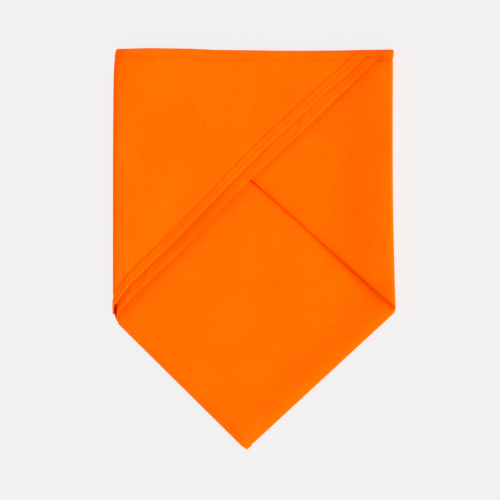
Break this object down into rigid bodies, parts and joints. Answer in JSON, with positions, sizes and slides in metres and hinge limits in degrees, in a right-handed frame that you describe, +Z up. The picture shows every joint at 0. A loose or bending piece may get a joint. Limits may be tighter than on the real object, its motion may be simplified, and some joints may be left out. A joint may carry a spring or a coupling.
{
  "type": "neckerchief",
  "caption": "Triangular hemmed cotton neckerchief, folded in half and then with both ends turned in over the middle, lying flat.",
  "frame": {"origin": "on the surface it lies on, under the middle of the folded pack's box", "axes": "+Z up, off the surface; +Y from the folded point to the short sides; +X to the right as seen from above"},
  "size_m": [0.238, 0.336, 0.0108],
  "materials": {
    "cotton": "plain woven cotton with fine slubs",
    "hem": "cotton turned twice and stitched",
    "thread": "matt sewing thread"
  },
  "bodies": {
    "root": {"cloth_panel": "cotton", "long_hem": "hem", "front_short_hem": "hem", "back_short_hem": "hem"}
  },
  "joints": []
}
